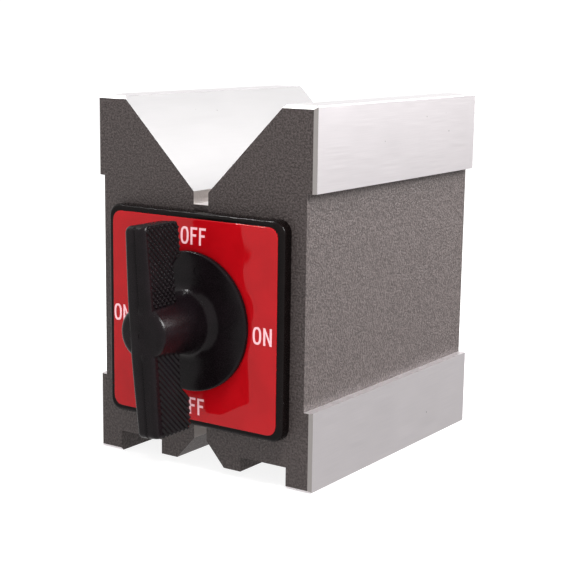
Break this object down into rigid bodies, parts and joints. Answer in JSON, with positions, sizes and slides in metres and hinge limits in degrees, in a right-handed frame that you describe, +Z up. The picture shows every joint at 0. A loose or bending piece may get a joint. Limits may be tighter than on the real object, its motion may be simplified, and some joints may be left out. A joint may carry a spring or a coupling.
{
  "type": "switchable magnetic v-block",
  "caption": "Steel workholding V-block in two pole halves, with an internal magnet rotor turned on and off by a front T-handle on a red label plate.",
  "frame": {"origin": "middle of the object's bounding box in X and Y, on the plane of the feet", "axes": "+Z up, -Y is the front with the T-handle, X = 0 is the plane between the poles, and the switch axis runs along Y at Z = 40 mm"},
  "size_m": [0.068, 0.1062, 0.095],
  "materials": {
    "painted_steel": "dark grey pebble-textured paint, with the V flanks, lands, feet and side bands ground bare",
    "spacer_alloy": "rough sawn",
    "turned_alloy": "fine turned",
    "bronze": "sintered",
    "brass": "turned",
    "seal_rubber": "moulded",
    "black_screw_steel": "black oxide",
    "black_plastic": "satin moulded",
    "knob_plastic": "satin moulded, ribbed grips",
    "red_label": "clear domed gloss over red print",
    "magnet_alloy": "nickel plated",
    "soft_iron": "turned",
    "stainless_steel": "turned",
    "shaft_steel": "ground",
    "spring_steel": "phosphated"
  },
  "bodies": {
    "block": {"left_pole": "painted_steel", "right_pole": "painted_steel", "top_spacer": "spacer_alloy", "bottom_spacer": "spacer_alloy", "front_cap": "turned_alloy", "rear_cap": "turned_alloy", "front_bush": "bronze", "rear_bush": "bronze", "shaft_seal": "seal_rubber", "front_washer": "bronze", "rear_washer": "bronze", "front_cap_screws": "black_screw_steel", "rear_cap_screws": "black_screw_steel", "switch_plate": "black_plastic", "plate_screws": "black_screw_steel", "label": "red_label"},
    "rotor": {"magnets": "magnet_alloy", "upper_segment": "soft_iron", "lower_segment": "soft_iron", "front_flange": "brass", "rear_flange": "brass", "tie_screws": "stainless_steel", "drive_shaft": "shaft_steel", "shaft_pin": "shaft_steel", "rear_journal": "shaft_steel", "retaining_ring": "spring_steel", "knob": "knob_plastic", "knob_insert": "brass", "grub_screw": "black_screw_steel"}
  },
  "joints": [
    {"name": "switch_turn", "type": "hinge", "parent": "block", "child": "rotor", "pos_m": [0, 0, 0.04], "axis": [0, -1, 0], "continuous": true}
  ]
}
